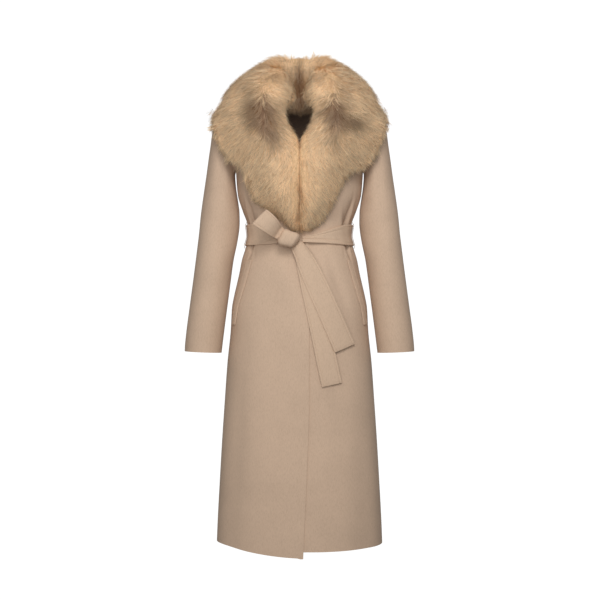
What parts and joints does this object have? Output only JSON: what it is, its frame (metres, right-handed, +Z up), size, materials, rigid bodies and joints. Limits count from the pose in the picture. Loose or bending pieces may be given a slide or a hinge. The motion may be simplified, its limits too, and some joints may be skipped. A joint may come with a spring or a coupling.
{
  "type": "wool wrap coat with long-pile shawl collar",
  "caption": "Knee-length wool wrap coat with a wide long-pile shawl collar, set-in sleeves, slanted pocket welts and a tied belt.",
  "frame": {"origin": "base of the wearer's neck, midway between the shoulders, at nape height", "axes": "+X towards the wearer's left, +Y towards the back, +Z up; the front faces -Y"},
  "size_m": [0.593, 0.3285, 1.2951],
  "materials": {
    "wool": "matt brushed wool",
    "fur": "long soft pile",
    "lining": "dark smooth facing"
  },
  "bodies": {
    "root": {"back": "wool", "front_right": "wool", "front_left": "wool", "sleeve_right": "wool", "sleeve_left": "wool", "fur_collar_right": "fur", "fur_collar_left": "fur", "belt_band": "wool", "belt_knot": "wool", "belt_loop": "wool", "belt_tail_front": "wool", "belt_tail_back": "wool", "belt_carrier_right": "wool", "belt_carrier_left": "wool", "pocket_welt_right": "wool", "pocket_welt_left": "wool", "neck_facing": "lining"}
  },
  "joints": []
}
